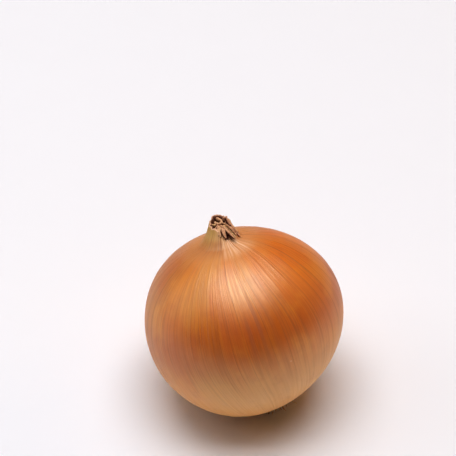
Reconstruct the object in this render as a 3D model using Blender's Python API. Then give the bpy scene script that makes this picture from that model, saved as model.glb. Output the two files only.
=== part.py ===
"""A large yellow onion: the skinned bulb, its dry folded neck and its tuft of dry roots.

Metres, +Z up, +X across the view and +Y away from the viewer. The origin is the
centre of the small flat spot that the onion rests on.
"""

import math
import random

import bmesh
import bpy
import numpy as np

# Driving dimensions of the bulb
BELLY_RADIUS = 0.03995
POLE_RADIUS = 0.0371
LOPSIDED = 0.00055
REST_SPOT_DEPTH = 0.00063

# The onion leans: its neck points up, back and left, its roots down, forward and right
NECK_POLE = (-0.222, 0.269, 0.937)
ROOT_POLE = (0.373, -0.377, -0.848)
FULLER_SIDE = (0.914, 0.288, 0.288)
NECK_GROWTH = (-0.160, 0.304, 0.940)

# The underside is pressed so that its lowest point lies below the weight
SEAT_SLOPE = (0.068, -0.050)
SEAT_SPREAD = 0.020

# Papery skin drawn up round the neck
COLLAR_RADIUS = 0.0043
COLLAR_HEIGHT = 0.0066
COLLAR_WALL = 0.0008
COLLAR_CURVE = 2.0
NOTCH_DEPTH = 0.0024
NOTCH_SIDE = math.radians(-60)
NOTCH_WIDTH = math.radians(24)
SOCKET_FLOOR = 0.0012
PLEATS = 11
PLEAT_DEPTH = 0.0003
PLEAT_REACH = 0.0030

# Raised veins that run from root to neck, their flanks as a share of their spacing
VEINS = 32
VEIN_HEIGHT = 0.00022
VEIN_FLANK = 0.28
VEIN_FADE = 0.012
VEIN_SEED = 4

# Root plate in its hollow, and the dry rootlets: radius and number in each circle
DIMPLE_DEPTH = 0.0020
DIMPLE_SPREAD = 0.0065
PLATE_RADIUS = 0.0060
PLATE_THICKNESS = 0.0014
ROOTLET_CIRCLES = ((0.0012, 5), (0.0026, 10), (0.0039, 15), (0.0051, 20))
ROOTLET_LENGTH = 0.0033
ROOTLET_RADIUS = 0.00032
ROOTLET_SEED = 11
FLOOR_CLEARANCE = 0.0009

# Dry leaves in the neck: a stub in the socket, one leaf rolled up and others folded over
STUB_RADIUS = 0.0029
STUB_HEIGHT = 0.0052
SCROLL_RADIUS = 0.0021
SCROLL_SHIFT = 0.0005
SCROLL_TURNS = 1.4
SCROLL_PITCH = 0.00105
SCROLL_HEIGHT = 0.0077
SCROLL_ROOT = 0.0030
LEAF_THICKNESS = 0.00065
FOLD_ROOT = 0.0012
FOLD_HEIGHT = 0.0016
FOLD_TIP_HEIGHT = 0.0006
FOLDS = (
    {"side": -4, "top": 0.0095, "reach": 0.0086},
    {"side": -27, "top": 0.0080, "reach": 0.0080},
    {"side": -51, "top": 0.0078, "reach": 0.0076},
    {"side": -98, "top": 0.0074, "reach": 0.0060},
)

# Finishes
SKIN_COLOUR = (0.56, 0.19, 0.04)
SKIN_ROUGHNESS = 0.38
LEAF_COLOUR = (0.52, 0.29, 0.14)
LEAF_ROUGHNESS = 0.6
ROOT_COLOUR = (0.36, 0.24, 0.15)
ROOT_ROUGHNESS = 0.85

# Fit and mesh
GAP = 0.0003
BODY_RINGS = 30
STEP = 1e-4


def unit(vector):
    vector = np.asarray(vector, float)
    return vector / np.linalg.norm(vector, axis=-1, keepdims=True)


NECK = unit(NECK_POLE)
ROOT = unit(ROOT_POLE)
LOBE = unit(FULLER_SIDE)
GROWTH = unit(NECK_GROWTH)
AXIS = unit(NECK - ROOT)
BEND = (NECK / (NECK @ AXIS) - ROOT / (ROOT @ AXIS)) / 2
RIGHT = unit(np.cross((0.0, 1.0, 0.0), AXIS))
BACK = np.cross(AXIS, RIGHT)


def around(u):
    """The direction out from the onion's axis at longitude u: 0 right, 90 degrees back."""
    u = np.asarray(u, float)
    return np.cos(u)[..., None] * RIGHT + np.sin(u)[..., None] * BACK


def plain_body(phi, u):
    """The smooth bulb about its belly's centre, phi from the root pole to the neck pole."""
    phi = np.asarray(phi, float)
    sphere = np.sin(phi)[..., None] * around(u) - np.cos(phi)[..., None] * AXIS
    heading = unit(sphere + BEND * (np.cos(phi) ** 2)[..., None])
    along = heading @ AXIS
    lobe = heading @ LOBE
    radius = 1 / np.sqrt((1 - along**2) / BELLY_RADIUS**2 + along**2 / POLE_RADIUS**2)
    radius = radius + LOPSIDED * (4 * lobe**3 - 3 * lobe)
    return heading * radius[..., None]


def collar_height(u):
    """How far the torn edge of the skin stands up the neck: most behind, least in a notch."""
    u = np.asarray(u, float)
    lean = 0.255 * np.sin(u) - 0.215 * np.cos(u) - 0.085 * np.cos(2 * u)
    tear = 0.03 * np.sin(3 * u + 0.6) + 0.02 * np.sin(5 * u + 2.0)
    off_notch = (u - NOTCH_SIDE + math.pi) % (2 * math.pi) - math.pi
    notch = NOTCH_DEPTH * np.exp(-((off_notch / NOTCH_WIDTH) ** 2))
    return COLLAR_HEIGHT * (1 + lean + tear) - notch


def collar_spread(u):
    """How far out the drawn-up skin meets the shoulder: close in on the left."""
    u = np.asarray(u, float)
    return COLLAR_RADIUS * (1.36 - 0.16 * np.cos(u) - 0.07 * np.sin(u))


def press_seat(points):
    """Lean the underside about the vertical through the weight."""
    points = points.copy()
    flat = points[..., :2]
    nearness = np.exp(-(flat**2).sum(axis=-1) / SEAT_SPREAD**2)
    below = points[..., 2] < 0
    lean = flat @ np.array(SEAT_SLOPE)
    points[..., 2] = points[..., 2] - np.where(below, lean * nearness, 0)
    return points


def skin(phi, u):
    """The bulb's outer skin with its drawn-up collar and root hollow, before veins."""
    phi = np.asarray(phi, float)
    reach = BELLY_RADIUS * np.sin(phi)
    upper = phi > math.pi / 2
    points = press_seat(plain_body(phi, u))
    out = np.maximum(reach - COLLAR_RADIUS, 0)
    rise = np.maximum(1 - out / collar_spread(u), 0) ** COLLAR_CURVE
    lift = np.where(upper, collar_height(u) * rise, 0)
    dimple = np.where(upper, 0, DIMPLE_DEPTH * np.exp(-((reach / DIMPLE_SPREAD) ** 2)))
    pleat = PLEAT_DEPTH * np.cos(PLEATS * u + 0.8 * np.sin(2 * u))
    gathered = np.where(upper, pleat * np.exp(-out / PLEAT_REACH), 0)
    return (
        points
        + GROWTH * lift[..., None]
        - ROOT * dimple[..., None]
        + around(u) * gathered[..., None]
    )


def skin_normal(phi, u):
    along = skin(phi + STEP, u) - skin(phi - STEP, u)
    across = skin(phi, u + STEP) - skin(phi, u - STEP)
    return unit(np.cross(across, along))


def vein_places():
    """Longitude and strength of each main vein, unevenly spaced round the bulb."""
    draw = random.Random(VEIN_SEED)
    pitch = 2 * math.pi / VEINS
    spots = [pitch * (k + draw.uniform(-0.22, 0.22)) for k in range(VEINS)]
    return [(spot, draw.uniform(0.55, 1.0)) for spot in spots]


def vein_columns():
    """Longitudes of the mesh columns, and how high each one stands on its vein."""
    flank = VEIN_FLANK * 2 * math.pi / VEINS
    columns = []
    for spot, strength in vein_places():
        columns += [(spot - flank, 0.0), (spot, strength), (spot + flank, 0.0)]
    longitude, height = np.array(columns).T
    return longitude, height * VEIN_HEIGHT


def polar_angles(near_pole):
    """Ring angles from a pole to the belly, closer together by the pole."""
    first = [math.asin(reach / BELLY_RADIUS) for reach in near_pole]
    last = np.linspace(first[-1], math.pi / 2, BODY_RINGS // 2 + 1)[1:]
    return first + list(last)


def new_object(name, points, faces, colour, roughness):
    mesh = bpy.data.meshes.new(name)
    mesh.from_pydata([tuple(point) for point in points], [], faces)
    shape = bmesh.new()
    shape.from_mesh(mesh)
    bmesh.ops.recalc_face_normals(shape, faces=shape.faces)
    shape.to_mesh(mesh)
    shape.free()
    mesh.shade_smooth()
    piece = bpy.data.objects.new(name, mesh)
    bpy.context.scene.collection.objects.link(piece)
    material = bpy.data.materials.new(name)
    material.use_nodes = True
    shader = material.node_tree.nodes["Principled BSDF"]
    shader.inputs["Base Color"].default_value = (*colour, 1.0)
    shader.inputs["Roughness"].default_value = roughness
    shader.inputs["Metallic"].default_value = 0.0
    mesh.materials.append(material)
    return piece


def lofted(rings, start=None, end=None):
    """Points and faces over equal closed rings; an end closes on its point or as a cap."""
    count = len(rings[0])
    points = [point for ring in rings for point in ring]
    faces = []
    for row in range(len(rings) - 1):
        for k in range(count):
            a = row * count + k
            b = row * count + (k + 1) % count
            faces.append((a, b, b + count, a + count))
    for tip, row in ((start, 0), (end, len(rings) - 1)):
        edge = [row * count + k for k in range(count)]
        if tip is None:
            faces.append(edge if row else edge[::-1])
            continue
        points.append(tip)
        hub = len(points) - 1
        for k in range(count):
            pair = (edge[k], edge[(k + 1) % count])
            faces.append((*pair, hub) if row else (*pair[::-1], hub))
    return points, faces


def union(host, pieces):
    """Join overlapping pieces into the host as one closed body."""
    group = bpy.data.collections.new(host.name + "_pieces")
    for piece in pieces:
        group.objects.link(piece)
    joined = host.modifiers.new("joined", "BOOLEAN")
    joined.operation = "UNION"
    joined.operand_type = "COLLECTION"
    joined.collection = group
    joined.solver = "EXACT"
    bpy.context.view_layer.objects.active = host
    bpy.ops.object.modifier_apply(modifier=joined.name)
    for piece in pieces:
        bpy.data.objects.remove(piece)
    bpy.data.collections.remove(group)


NECK_BASE = plain_body(math.pi, 0.0)
ROOT_BASE = skin(0.0, 0.0)


def in_neck(x, y, height):
    """Points in the neck: x to the right, y to the back, height along its growth."""
    x, y, height = np.broadcast_arrays(x, y, height)
    return NECK_BASE + RIGHT * x[..., None] + BACK * y[..., None] + GROWTH * height[..., None]


def bulb_rings():
    longitude, raised = vein_columns()
    lower = polar_angles(PLATE_RADIUS * np.array((0.25, 0.53, 0.83, 1.13, 1.47, 1.90)))
    upper = polar_angles(COLLAR_RADIUS * np.array((1.0, 1.07, 1.17, 1.3, 1.5, 1.75, 2.1, 2.65)))
    angles = lower + [math.pi - phi for phi in upper[-2::-1]]
    rings = []
    for phi in angles:
        fade = min(1.0, BELLY_RADIUS * math.sin(phi) / VEIN_FADE)
        angle = np.full_like(longitude, phi)
        normal = skin_normal(angle, longitude)
        rings.append(skin(angle, longitude) + normal * (raised * fade)[:, None])
    return longitude, rings


def socket_rings(longitude):
    """Over the torn edge of the skin and down the inside of the collar."""
    edge = skin(math.pi - math.asin(COLLAR_RADIUS / BELLY_RADIUS), longitude)
    inward = -around(longitude) * COLLAR_WALL
    inner = COLLAR_RADIUS - COLLAR_WALL
    x = inner * np.cos(longitude)
    y = inner * np.sin(longitude)
    middle = 0.5 * (collar_height(longitude) + SOCKET_FLOOR)
    lip = [edge + 0.5 * inward, edge + inward - GROWTH * 0.4 * COLLAR_WALL]
    return lip + [in_neck(x, y, middle), in_neck(x, y, SOCKET_FLOOR)]


def make_bulb(seat):
    longitude, rings = bulb_rings()
    rings += socket_rings(longitude)
    floor = in_neck(0.0, 0.0, SOCKET_FLOOR)
    points, faces = lofted(rings, start=ROOT_BASE, end=floor)
    points = np.array(points) - seat
    points[:, 2] = np.maximum(points[:, 2], 0.0)
    return new_object("bulb", points, faces, SKIN_COLOUR, SKIN_ROUGHNESS)


def make_stub(seat):
    """The shrunken bundle of dry leaves in the socket, its top slanting up to the right."""
    u = np.linspace(0, 2 * math.pi, 32, endpoint=False)
    ribbed = 1 - 0.07 * (1 + np.cos(8 * u + 0.9 * np.sin(2 * u)))
    x = STUB_RADIUS * ribbed * np.cos(u)
    y = STUB_RADIUS * ribbed * np.sin(u)
    foot = SOCKET_FLOOR + GAP
    slant = STUB_HEIGHT + 0.3 * x
    rings = [in_neck(x, y, height) for height in (foot, 0.5 * (foot + slant), slant)]
    points, faces = lofted(rings, start=in_neck(0, 0, foot), end=in_neck(0, 0, STUB_HEIGHT))
    return new_object("neck", np.array(points) - seat, faces, LEAF_COLOUR, LEAF_ROUGHNESS)


def make_scroll(seat):
    """A dry leaf rolled up on itself, standing out of the stub."""
    turn = np.linspace(0, 2 * math.pi * SCROLL_TURNS, 27)
    radius = SCROLL_RADIUS - SCROLL_PITCH * turn / (2 * math.pi)
    start = math.radians(-60)
    middle = np.stack([radius * np.cos(start + turn), radius * np.sin(start + turn)], axis=-1)
    along = unit(np.gradient(middle, axis=0))
    side = np.stack([along[:, 1], -along[:, 0]], axis=-1) * LEAF_THICKNESS / 2
    outline = np.concatenate([middle + side, (middle - side)[::-1]])
    x = outline[:, 0] - SCROLL_SHIFT
    y = outline[:, 1]
    top = SCROLL_HEIGHT + 0.35 * y - 0.05 * x
    rings = []
    for share in (0.0, 0.5, 1.0):
        rings.append(in_neck(x, y, SCROLL_ROOT + share * (top - SCROLL_ROOT)))
    count = len(turn)
    points, faces = lofted(rings)
    faces = faces[:-2]
    for row, flip in ((0, True), (len(rings) - 1, False)):
        for k in range(count - 1):
            a = row * 2 * count + k
            b = row * 2 * count + 2 * count - 1 - k
            quad = (a, a + 1, b - 1, b)
            faces.append(quad[::-1] if flip else quad)
    return new_object("scroll", np.array(points) - seat, faces, LEAF_COLOUR, LEAF_ROUGHNESS)


def make_fold(seat, side, top, reach):
    """A folded leaf edge that leaves the stub and runs down over the outside of the collar."""
    over_rim = np.linspace(FOLD_ROOT, COLLAR_RADIUS, 4)
    down_side = np.linspace(1.15 * COLLAR_RADIUS, reach, 8)
    rings = []
    for station in (*over_rim, *down_side):
        share = (station - FOLD_ROOT) / (reach - FOLD_ROOT)
        phi = np.array(math.pi - math.asin(station / BELLY_RADIUS))
        u = np.array(math.radians(side) + 0.12 * math.sin(math.pi * share))
        shoulder = plain_body(phi, u)
        base = shoulder + GROWTH * (collar_height(u) + 2.2 * GAP)
        up = GROWTH
        if station > COLLAR_RADIUS:
            up = skin_normal(phi, u)
            base = skin(phi, u) + up * (GAP + PLEAT_DEPTH)
        rise = top * (1 - share**1.3) - (base - shoulder) @ GROWTH
        least = FOLD_HEIGHT + (FOLD_TIP_HEIGHT - FOLD_HEIGHT) * share
        tall = max(rise * (up @ GROWTH), least)
        half = np.cross(GROWTH, around(u)) * LEAF_THICKNESS / 2
        middle = base + up * 0.65 * tall
        rings.append([base - half, base + half, middle + half, base + up * tall, middle - half])
    points, faces = lofted(rings)
    return new_object("fold", np.array(points) - seat, faces, LEAF_COLOUR, LEAF_ROUGHNESS)


def make_neck(seat):
    neck = make_stub(seat)
    leaves = [make_scroll(seat)] + [make_fold(seat, **fold) for fold in FOLDS]
    union(neck, leaves)
    return neck


def on_root(radius, u, height):
    """A point by the root plate: radius and longitude round it, height outward."""
    phi = np.arcsin(np.asarray(radius, float) / BELLY_RADIUS)
    base = skin(phi, np.asarray(u, float) + 0 * phi)
    return base + ROOT * np.asarray(height, float)[..., None]


def make_plate(seat):
    """The corky root plate, lying in the hollow of the bulb."""
    u = np.linspace(0, 2 * math.pi, 28, endpoint=False)
    rough = 1 + 0.05 * np.sin(5 * u) + 0.03 * np.sin(9 * u + 1)
    rings = []
    for share, outward in (
        (0.35, GAP),
        (0.70, GAP),
        (1.00, GAP),
        (1.00, GAP + 0.5 * PLATE_THICKNESS),
        (0.78, GAP + PLATE_THICKNESS),
        (0.40, GAP + 1.15 * PLATE_THICKNESS),
    ):
        radius = PLATE_RADIUS * share * rough
        rings.append(on_root(radius, u, np.full_like(u, outward)))
    inner = ROOT_BASE + ROOT * GAP
    outer = ROOT_BASE + ROOT * (GAP + 1.1 * PLATE_THICKNESS)
    points, faces = lofted(rings, start=inner, end=outer)
    return new_object("roots", np.array(points) - seat, faces, ROOT_COLOUR, ROOT_ROUGHNESS)


def make_rootlet(seat, radius, u, draw):
    """One dry rootlet, splayed out from the plate and curling at its tip."""
    outward = around(u)
    splay = math.radians(14 + 38 * radius / PLATE_RADIUS + draw.uniform(-6, 6))
    length = ROOTLET_LENGTH * draw.uniform(0.6, 1.25)
    swing = draw.uniform(-0.5, 0.5)
    sideways = np.cross(ROOT, outward)
    heading = unit(ROOT * math.cos(splay) + outward * math.sin(splay) + sideways * 0.2 * swing)
    root = on_root(radius, u, 0.6 * PLATE_THICKNESS) - seat
    room = root[2] - FLOOR_CLEARANCE
    length = min(length, room / max(-heading[2], 0.2))
    rings = []
    for share in (0.0, 0.3, 0.6, 0.85):
        thick = ROOTLET_RADIUS * (1 - 0.45 * share)
        point = root + heading * length * share + sideways * swing * length * 0.35 * share**2
        turn = [k * 2 * math.pi / 3 for k in range(3)]
        rings.append([point + (sideways * math.cos(a) + outward * math.sin(a)) * thick for a in turn])
    tip = root + heading * length + sideways * swing * length * 0.35
    points, faces = lofted(rings, end=tip)
    return new_object("rootlet", points, faces, ROOT_COLOUR, ROOT_ROUGHNESS)


def make_roots(seat):
    roots = make_plate(seat)
    draw = random.Random(ROOTLET_SEED)
    rootlets = []
    for radius, count in ROOTLET_CIRCLES:
        for k in range(count):
            u = 2 * math.pi * (k + draw.uniform(-0.2, 0.2)) / count + radius * 400
            rootlets.append(make_rootlet(seat, radius, u, draw))
    union(roots, rootlets)
    return roots


def seat_place():
    """Where the middle of the rest spot lies, from the belly's centre."""
    phi, u = np.meshgrid(np.linspace(0, math.pi / 2, 60), np.linspace(0, 2 * math.pi, 90))
    lowest = skin(phi, u)[..., 2].min()
    return np.array([0.0, 0.0, lowest + REST_SPOT_DEPTH])


def clear_scene():
    for thing in list(bpy.data.objects):
        bpy.data.objects.remove(thing)


def main():
    clear_scene()
    seat = seat_place()
    make_bulb(seat)
    make_neck(seat)
    make_roots(seat)


main()
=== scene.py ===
# %% [markdown]
# # A large yellow onion
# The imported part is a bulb, a dry neck and a tuft of roots. This script keeps those three
# where they are and gives each a finer mesh and a finish: a skin with veins, papery leaves
# and brittle roots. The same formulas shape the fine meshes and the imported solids, so every
# piece sits where the solid is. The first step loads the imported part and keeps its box.

import math
import random

import bpy
import numpy as np
from mathutils import Matrix, Vector, noise


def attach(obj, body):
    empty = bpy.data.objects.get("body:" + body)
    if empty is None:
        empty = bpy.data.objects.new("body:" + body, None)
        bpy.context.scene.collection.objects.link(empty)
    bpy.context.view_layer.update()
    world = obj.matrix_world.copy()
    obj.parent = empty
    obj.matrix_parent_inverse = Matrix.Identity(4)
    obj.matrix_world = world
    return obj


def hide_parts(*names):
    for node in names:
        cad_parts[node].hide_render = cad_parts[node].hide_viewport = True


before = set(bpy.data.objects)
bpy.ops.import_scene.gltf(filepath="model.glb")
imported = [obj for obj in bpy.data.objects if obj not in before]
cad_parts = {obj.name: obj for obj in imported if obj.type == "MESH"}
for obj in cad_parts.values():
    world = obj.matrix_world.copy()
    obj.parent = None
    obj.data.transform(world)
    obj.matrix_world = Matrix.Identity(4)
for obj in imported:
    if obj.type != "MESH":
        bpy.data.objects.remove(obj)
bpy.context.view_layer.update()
print("packed parts:", sorted(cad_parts))

# %% [markdown]
# ## The camera
# A photograph is matched first by its viewpoint. The onion was seen from 42 degrees above
# the table through a long lens, which keeps its outline nearly round. We could place the
# camera by eye. It is surer to say how many pixels the middle of the onion lies right of
# and below the middle of the picture, and how many pixels a metre there measures, and to
# work the distance out from that.

# %% Place the camera
PICTURE_SIDE = 456
FOCAL_LENGTH = 135.0
SENSOR_WIDTH = 36.0
PIXELS_PER_METRE = 2506.0
CAMERA_HEIGHT_ANGLE = math.radians(41.99)
PIXELS_RIGHT = 15.2
PIXELS_BELOW = 90.9
BELLY_HEIGHT = 0.03764
NEAREST_SEEN = 0.01

focal_pixels = FOCAL_LENGTH / SENSOR_WIDTH * PICTURE_SIDE
camera_distance = focal_pixels / PIXELS_PER_METRE
camera_right = Vector((1.0, 0.0, 0.0))
camera_up = Vector((0.0, math.sin(CAMERA_HEIGHT_ANGLE), math.cos(CAMERA_HEIGHT_ANGLE)))
towards_camera = camera_right.cross(camera_up)
camera_place = (
    Vector((0.0, 0.0, BELLY_HEIGHT))
    - camera_right * PIXELS_RIGHT / PIXELS_PER_METRE
    + camera_up * PIXELS_BELOW / PIXELS_PER_METRE
    + towards_camera * camera_distance
)

camera_data = bpy.data.cameras.new("camera")
camera_data.lens = FOCAL_LENGTH
camera_data.sensor_width = SENSOR_WIDTH
camera_data.clip_start = NEAREST_SEEN
camera = bpy.data.objects.new("camera", camera_data)
camera.matrix_world = Matrix.LocRotScale(
    camera_place,
    Matrix((camera_right, camera_up, towards_camera)).transposed().to_quaternion(),
    None,
)
bpy.context.scene.collection.objects.link(camera)
bpy.context.scene.camera = camera
print("camera distance in m:", round(camera_distance, 3))

# %% [markdown]
# ## Small helpers
# Most pieces are grids of points: rows along the piece, columns across it or round it. One
# helper turns such a grid into a mesh with a UV map, so that grain can follow the growth.
# Others add shader nodes, because a finish is easier to read as a list of steps.

# %% Vector and mesh helpers
MM = 0.001


def unit(vector):
    """The vector, or each vector of an array, scaled to length one."""
    vector = np.asarray(vector, float)
    return vector / np.linalg.norm(vector, axis=-1, keepdims=True)


def new_piece(name, points, faces, face_uvs, material):
    """A smooth mesh object; face_uvs has one pair for each corner of each face."""
    mesh = bpy.data.meshes.new(name)
    mesh.from_pydata([tuple(point) for point in points], [], faces)
    layer = mesh.uv_layers.new(name="grain")
    layer.data.foreach_set("uv", np.array(face_uvs, np.float32).reshape(-1))
    mesh.shade_smooth()
    mesh.materials.append(material)
    piece = bpy.data.objects.new(name, mesh)
    bpy.context.scene.collection.objects.link(piece)
    print(name, "has", sum(len(face) - 2 for face in faces), "triangles")
    return piece


# %% Node helpers
MIX_SHARE, MIX_FIRST, MIX_SECOND, MIX_COLOUR = 0, 6, 7, 2


def add_node(tree, kind, inputs=None, **settings):
    """A new node; an input is either a value or another node's output."""
    node = tree.nodes.new(kind)
    for name, value in settings.items():
        setattr(node, name, value)
    for name, value in (inputs or {}).items():
        if isinstance(value, bpy.types.NodeSocket):
            tree.links.new(value, node.inputs[name])
        else:
            node.inputs[name].default_value = value
    return node


def calculate(tree, operation, *values):
    """One step of arithmetic on values or sockets."""
    inputs = dict(enumerate(values))
    return add_node(tree, "ShaderNodeMath", inputs, operation=operation).outputs[0]


def ramp(tree, value, low, high, start=0.0, end=1.0):
    """A smooth step of value from low to high, going from start to end."""
    inputs = {"Value": value, "From Min": low, "From Max": high, "To Min": start, "To Max": end}
    node = add_node(tree, "ShaderNodeMapRange", inputs, interpolation_type="SMOOTHSTEP")
    return node.outputs["Result"]


def blend(tree, share, first, second):
    """Mix two colours; share and the colours may be values or sockets."""
    node = add_node(tree, "ShaderNodeMix", data_type="RGBA")
    for number, value in ((MIX_SHARE, share), (MIX_FIRST, first), (MIX_SECOND, second)):
        socket = node.inputs[number]
        if isinstance(value, bpy.types.NodeSocket):
            tree.links.new(value, socket)
        else:
            socket.default_value = value if isinstance(value, float) else (*value, 1.0)
    return node.outputs[MIX_COLOUR]


def grain_noise(tree, place, scale, detail=3.0, roughness=0.55):
    """Smooth noise with so many lumps per unit of the place."""
    inputs = {"Vector": place, "Scale": scale, "Detail": detail, "Roughness": roughness}
    return add_node(tree, "ShaderNodeTexNoise", inputs).outputs["Fac"]


def new_material(name):
    """A material, its node tree and its main shader."""
    material = bpy.data.materials.new(name)
    material.use_nodes = True
    tree = material.node_tree
    return material, tree, tree.nodes["Principled BSDF"]


print("helpers: new_piece, add_node, calculate, ramp, blend, grain_noise, new_material")


# %% [markdown]
# ## The table
# The onion stood on a plain white table. A satin skin shows what is around it, and a white
# table gives the pale band low on the belly, so the floor has to be wide and really pale.
# An image of a table top would fix its scale. A flat square with a faint noise does not.

# %% Pale floor
FLOOR_SIDE = 6.0
FLOOR_COLOUR = (0.90, 0.89, 0.91)
SPECKLE_SHADE = 0.99
SPECKLES_PER_METRE = 40.0
FLOOR_ROUGHNESS = 0.55
SQUARE_UVS = [(0, 0), (1, 0), (1, 1), (0, 1)]

floor_material, tree, shader = new_material("pale_table")
objects = add_node(tree, "ShaderNodeTexCoord").outputs["Object"]
speckle = grain_noise(tree, objects, SPECKLES_PER_METRE)
shader.inputs["Roughness"].default_value = FLOOR_ROUGHNESS
tint = blend(tree, speckle, tuple(SPECKLE_SHADE * c for c in FLOOR_COLOUR), FLOOR_COLOUR)
tree.links.new(tint, shader.inputs["Base Color"])

half = FLOOR_SIDE / 2
corners = [(-half, -half, 0.0), (half, -half, 0.0), (half, half, 0.0), (-half, half, 0.0)]
floor = new_piece("floor", corners, [(0, 1, 2, 3)], SQUARE_UVS, floor_material)

# %% [markdown]
# ## The backdrop
# From low down the eye looks past the table's far edge. A studio hangs pale paper there. A
# lit wall would throw light on the onion and spoil the dark room that its skin reflects, so
# these walls glow for the camera alone and are hidden from every other ray.

# %% Pale walls
WALL_HEIGHT = 5.0
WALL_COLOUR = (0.80, 0.79, 0.81, 1.0)
WALL_PAINT = (0.0, 0.0, 0.0, 1.0)
WALL_GLOW = 1.0

wall_material, tree, shader = new_material("pale_wall")
shader.inputs["Base Color"].default_value = WALL_PAINT
shader.inputs["Emission Color"].default_value = WALL_COLOUR
shader.inputs["Emission Strength"].default_value = WALL_GLOW
tops = [(x, y, WALL_HEIGHT) for x, y, low in corners]
sides = [(k, (k + 1) % 4, (k + 1) % 4 + 4, k + 4) for k in range(4)]
walls = new_piece("walls", corners + tops, sides, SQUARE_UVS * 4, wall_material)
walls.visible_diffuse = False
walls.visible_glossy = False
walls.visible_transmission = False
walls.visible_shadow = False

# %% [markdown]
# ## The light
# One large soft light hangs above the onion and a little behind it, and makes the broad
# highlight on the upper front. The ceiling, a window far behind and a card at each side
# add little; the right card is warm and tints that flank orange. Nothing lights the front,
# so the belly keeps a deep band between the highlight and the table's pale reflection.
# One bare lamp would be simpler, but its highlight would be a hard spot.

# %% Soft lights
COOL_WHITE = (0.98, 0.98, 1.0)
WARM_BOUNCE = (1.0, 0.60, 0.26)
LIGHTS = (
    {"name": "overhead_softbox", "place": (0.0, 0.18, 2.24), "side": 2.1, "depth": 1.5,
     "power": 46.0, "colour": COOL_WHITE},
    {"name": "ceiling_bounce", "place": (-0.5, 0.1, 2.4), "side": 2.8, "depth": 2.8,
     "power": 17.0, "colour": COOL_WHITE},
    {"name": "back_window", "place": (-0.52, 1.93, 0.93), "side": 1.6, "depth": 1.6,
     "power": 2.5, "colour": COOL_WHITE},
    {"name": "left_card", "place": (-1.9, 0.3, 0.9), "side": 1.5, "depth": 1.5,
     "power": 8.0, "colour": COOL_WHITE},
    {"name": "right_card", "place": (1.6, 0.5, 0.8), "side": 1.3, "depth": 1.3,
     "power": 4.5, "colour": WARM_BOUNCE},
)


def soft_light(name, place, side, depth, power, colour):
    """A rectangular light in watts, its sides in metres, that faces the onion's middle."""
    data = bpy.data.lights.new(name, "AREA")
    data.shape = "RECTANGLE"
    data.size = side
    data.size_y = depth
    data.energy = power
    data.color = colour
    light = bpy.data.objects.new(name, data)
    light.location = place
    aim = Vector((0.0, 0.0, BELLY_HEIGHT)) - Vector(place)
    light.rotation_euler = aim.to_track_quat("-Z", "Y").to_euler()
    bpy.context.scene.collection.objects.link(light)


for settings in LIGHTS:
    soft_light(**settings)
print("lights:", [settings["name"] for settings in LIGHTS])

# %% Dim room and picture contrast
ROOM_COLOUR = (1.0, 0.85, 0.70, 1.0)
ROOM_STRENGTH = 0.01
CONTRAST_GAMMA = 0.83

world = bpy.data.worlds.new("dim_room")
world.use_nodes = True
room = world.node_tree.nodes["Background"]
room.inputs["Color"].default_value = ROOM_COLOUR
room.inputs["Strength"].default_value = ROOM_STRENGTH
bpy.context.scene.world = world
bpy.context.scene.view_settings.view_transform = "Standard"
bpy.context.scene.view_settings.gamma = CONTRAST_GAMMA
print("room strength:", ROOM_STRENGTH, "picture gamma:", CONTRAST_GAMMA)

# %% [markdown]
# ## The form of the bulb
# The bulb is nearly a ball, a little shorter from root to neck than across. Its axis leans,
# and the skin is drawn up into a collar round the neck. A sculpted ball would do, but the
# packed bulb was made from a few formulas, and using them again keeps both in one place.
# A point has two angles: phi runs from the root to the neck, and u runs round the axis.

# %% Axis and poles
BELLY_RADIUS = 0.03995
POLE_RADIUS = 0.0371
LOPSIDED = 0.00055
REST_SPOT_DEPTH = 0.00063
NECK_POLE = (-0.222, 0.269, 0.937)
ROOT_POLE = (0.373, -0.377, -0.848)
FULLER_SIDE = (0.914, 0.288, 0.288)
NECK_GROWTH = (-0.160, 0.304, 0.940)

NECK = unit(NECK_POLE)
ROOT = unit(ROOT_POLE)
LOBE = unit(FULLER_SIDE)
GROWTH = unit(NECK_GROWTH)
AXIS = unit(NECK - ROOT)
BEND = (NECK / (NECK @ AXIS) - ROOT / (ROOT @ AXIS)) / 2
RIGHT = unit(np.cross((0.0, 1.0, 0.0), AXIS))
BACK = np.cross(AXIS, RIGHT)
print("axis leans", round(math.degrees(math.acos(AXIS[2])), 1), "degrees")


# %% The plain body
def around(u):
    """Direction straight out from the axis at the turn u."""
    u = np.asarray(u, float)
    return np.cos(u)[..., None] * RIGHT + np.sin(u)[..., None] * BACK


def plain_body(phi, u):
    """The bulb without collar, seat or root hollow."""
    phi = np.asarray(phi, float)
    sphere = np.sin(phi)[..., None] * around(u) - np.cos(phi)[..., None] * AXIS
    heading = unit(sphere + BEND * (np.cos(phi) ** 2)[..., None])
    along = heading @ AXIS
    lobe = heading @ LOBE
    radius = 1 / np.sqrt((1 - along**2) / BELLY_RADIUS**2 + along**2 / POLE_RADIUS**2)
    radius = radius + LOPSIDED * (4 * lobe**3 - 3 * lobe)
    return heading * radius[..., None]


belly = plain_body(math.pi / 2, 0.0)
print("belly radius on the right in mm:", round(1000 * float(np.linalg.norm(belly)), 2))

# %% [markdown]
# ## Collar, seat and root hollow
# The skin rises into the collar on a curve, steep at the neck and flat on the shoulder. Its
# edge is high at the back and torn away at the front right. Below, the bulb's own weight
# and growth left a flatter seat and a hollow for the roots. Each is one smooth term added
# to the plain body, which bends the surface without a seam, as a cut or a join would not.

# %% The collar's height and spread
COLLAR_RADIUS = 0.0043
COLLAR_HEIGHT = 0.0066
COLLAR_CURVE = 2.0
NOTCH_DEPTH = 0.0024
NOTCH_SIDE = math.radians(-60)
NOTCH_WIDTH = math.radians(24)


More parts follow.
